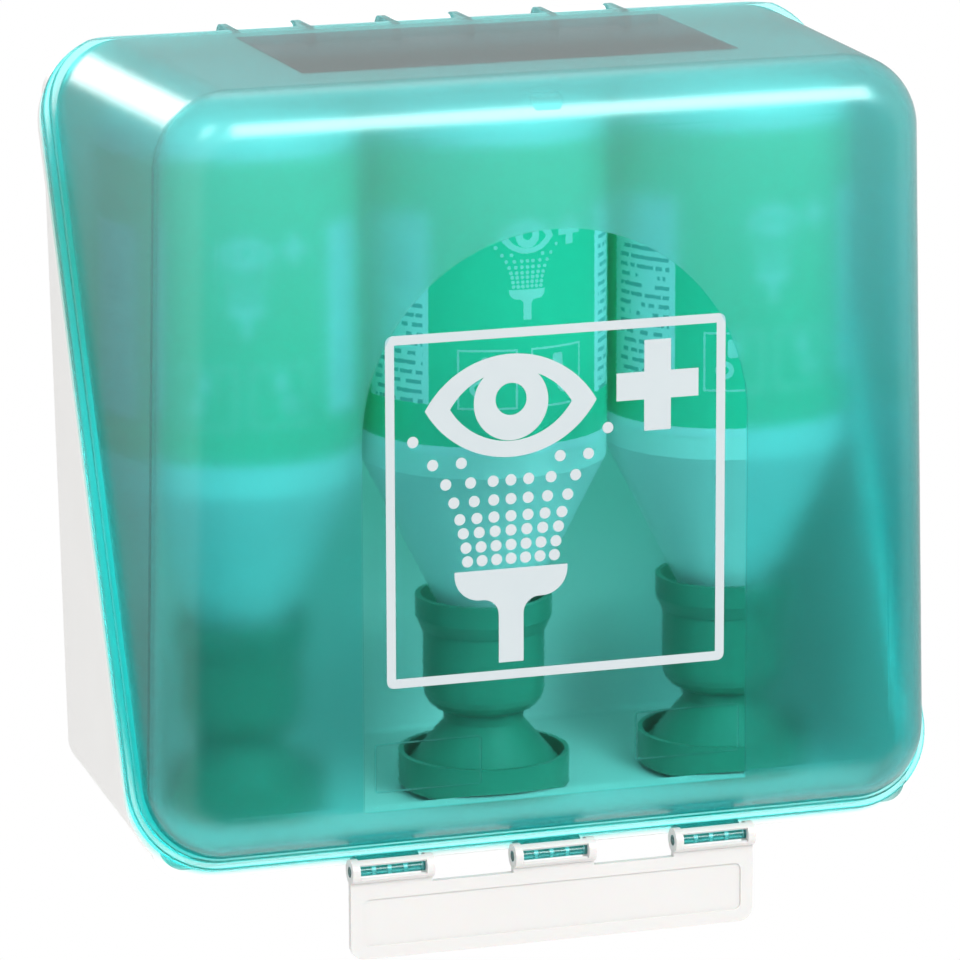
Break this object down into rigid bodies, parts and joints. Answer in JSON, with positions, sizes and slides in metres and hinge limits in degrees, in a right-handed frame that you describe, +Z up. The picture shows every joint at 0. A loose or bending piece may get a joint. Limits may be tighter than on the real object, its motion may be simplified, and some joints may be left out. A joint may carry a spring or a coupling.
{
  "type": "eyewash station",
  "caption": "Wall box with tilted parting line, top-hinged see-through cover, hanging label plate and a row of upside-down eyewash bottles with eye cups.",
  "frame": {"origin": "centre of the four wall screws, in the plane of the wall", "axes": "+X to the right of a person facing the box, +Y into the wall, +Z up"},
  "size_m": [0.237, 0.125, 0.2444],
  "materials": {
    "base_abs": "satin moulded ABS, near white",
    "cover_teal": "see-through teal styrene, frosted outside, polished window",
    "plate_white": "satin white moulded polypropylene",
    "bottle_clear": "milky see-through blown polyethylene",
    "saline_clear": "clear liquid",
    "wrap_film": "satin printed film",
    "head_green": "satin dark green polypropylene",
    "insert_white": "matt white polyethylene",
    "seal_rubber": "black elastomer"
  },
  "bodies": {
    "base": {"base_shell": "base_abs"},
    "cover": {"cover_shell": "cover_teal"},
    "label_plate": {"label_plate": "plate_white"},
    "bottle_left": {"bottle_left": "bottle_clear", "saline_left": "saline_clear", "wrap_label_left": "wrap_film", "collar_left": "head_green", "eye_cup_left": "head_green", "neck_seal_left": "seal_rubber", "spray_insert_left": "insert_white"},
    "dust_cap_left": {"dust_cap_left": "head_green"},
    "bottle_middle": {"bottle_middle": "bottle_clear", "saline_middle": "saline_clear", "wrap_label_middle": "wrap_film", "collar_middle": "head_green", "eye_cup_middle": "head_green", "neck_seal_middle": "seal_rubber", "spray_insert_middle": "insert_white"},
    "dust_cap_middle": {"dust_cap_middle": "head_green"},
    "bottle_right": {"bottle_right": "bottle_clear", "saline_right": "saline_clear", "wrap_label_right": "wrap_film", "collar_right": "head_green", "eye_cup_right": "head_green", "neck_seal_right": "seal_rubber", "spray_insert_right": "insert_white"},
    "dust_cap_right": {"dust_cap_right": "head_green"}
  },
  "joints": [
    {"name": "cover_hinge", "type": "hinge", "parent": "base", "child": "cover", "pos_m": [0, -0.0044, 0.0962], "axis": [-1, 0, 0], "range_deg": [0, 90]},
    {"name": "plate_hinge", "type": "hinge", "parent": "cover", "child": "label_plate", "pos_m": [0, -0.1214, -0.119], "axis": [-1, 0, 0], "range_deg": [-40, 50]},
    {"name": "bottle_left_lift", "type": "slide", "parent": "base", "child": "bottle_left", "axis": [0, 0, 1], "range_m": [0, 0.002]},
    {"name": "dust_cap_left_twist", "type": "hinge", "parent": "bottle_left", "child": "dust_cap_left", "pos_m": [-0.073, -0.061, -0.11431], "axis": [0, 0, 1], "range_deg": [0, 90]},
    {"name": "bottle_middle_lift", "type": "slide", "parent": "base", "child": "bottle_middle", "axis": [0, 0, 1], "range_m": [0, 0.004]},
    {"name": "dust_cap_middle_twist", "type": "hinge", "parent": "bottle_middle", "child": "dust_cap_middle", "pos_m": [0, -0.061, -0.11431], "axis": [0, 0, 1], "range_deg": [0, 90]},
    {"name": "bottle_right_lift", "type": "slide", "parent": "base", "child": "bottle_right", "axis": [0, 0, 1], "range_m": [0, 0.002]},
    {"name": "dust_cap_right_twist", "type": "hinge", "parent": "bottle_right", "child": "dust_cap_right", "pos_m": [0.073, -0.061, -0.11431], "axis": [0, 0, 1], "range_deg": [0, 90]}
  ]
}
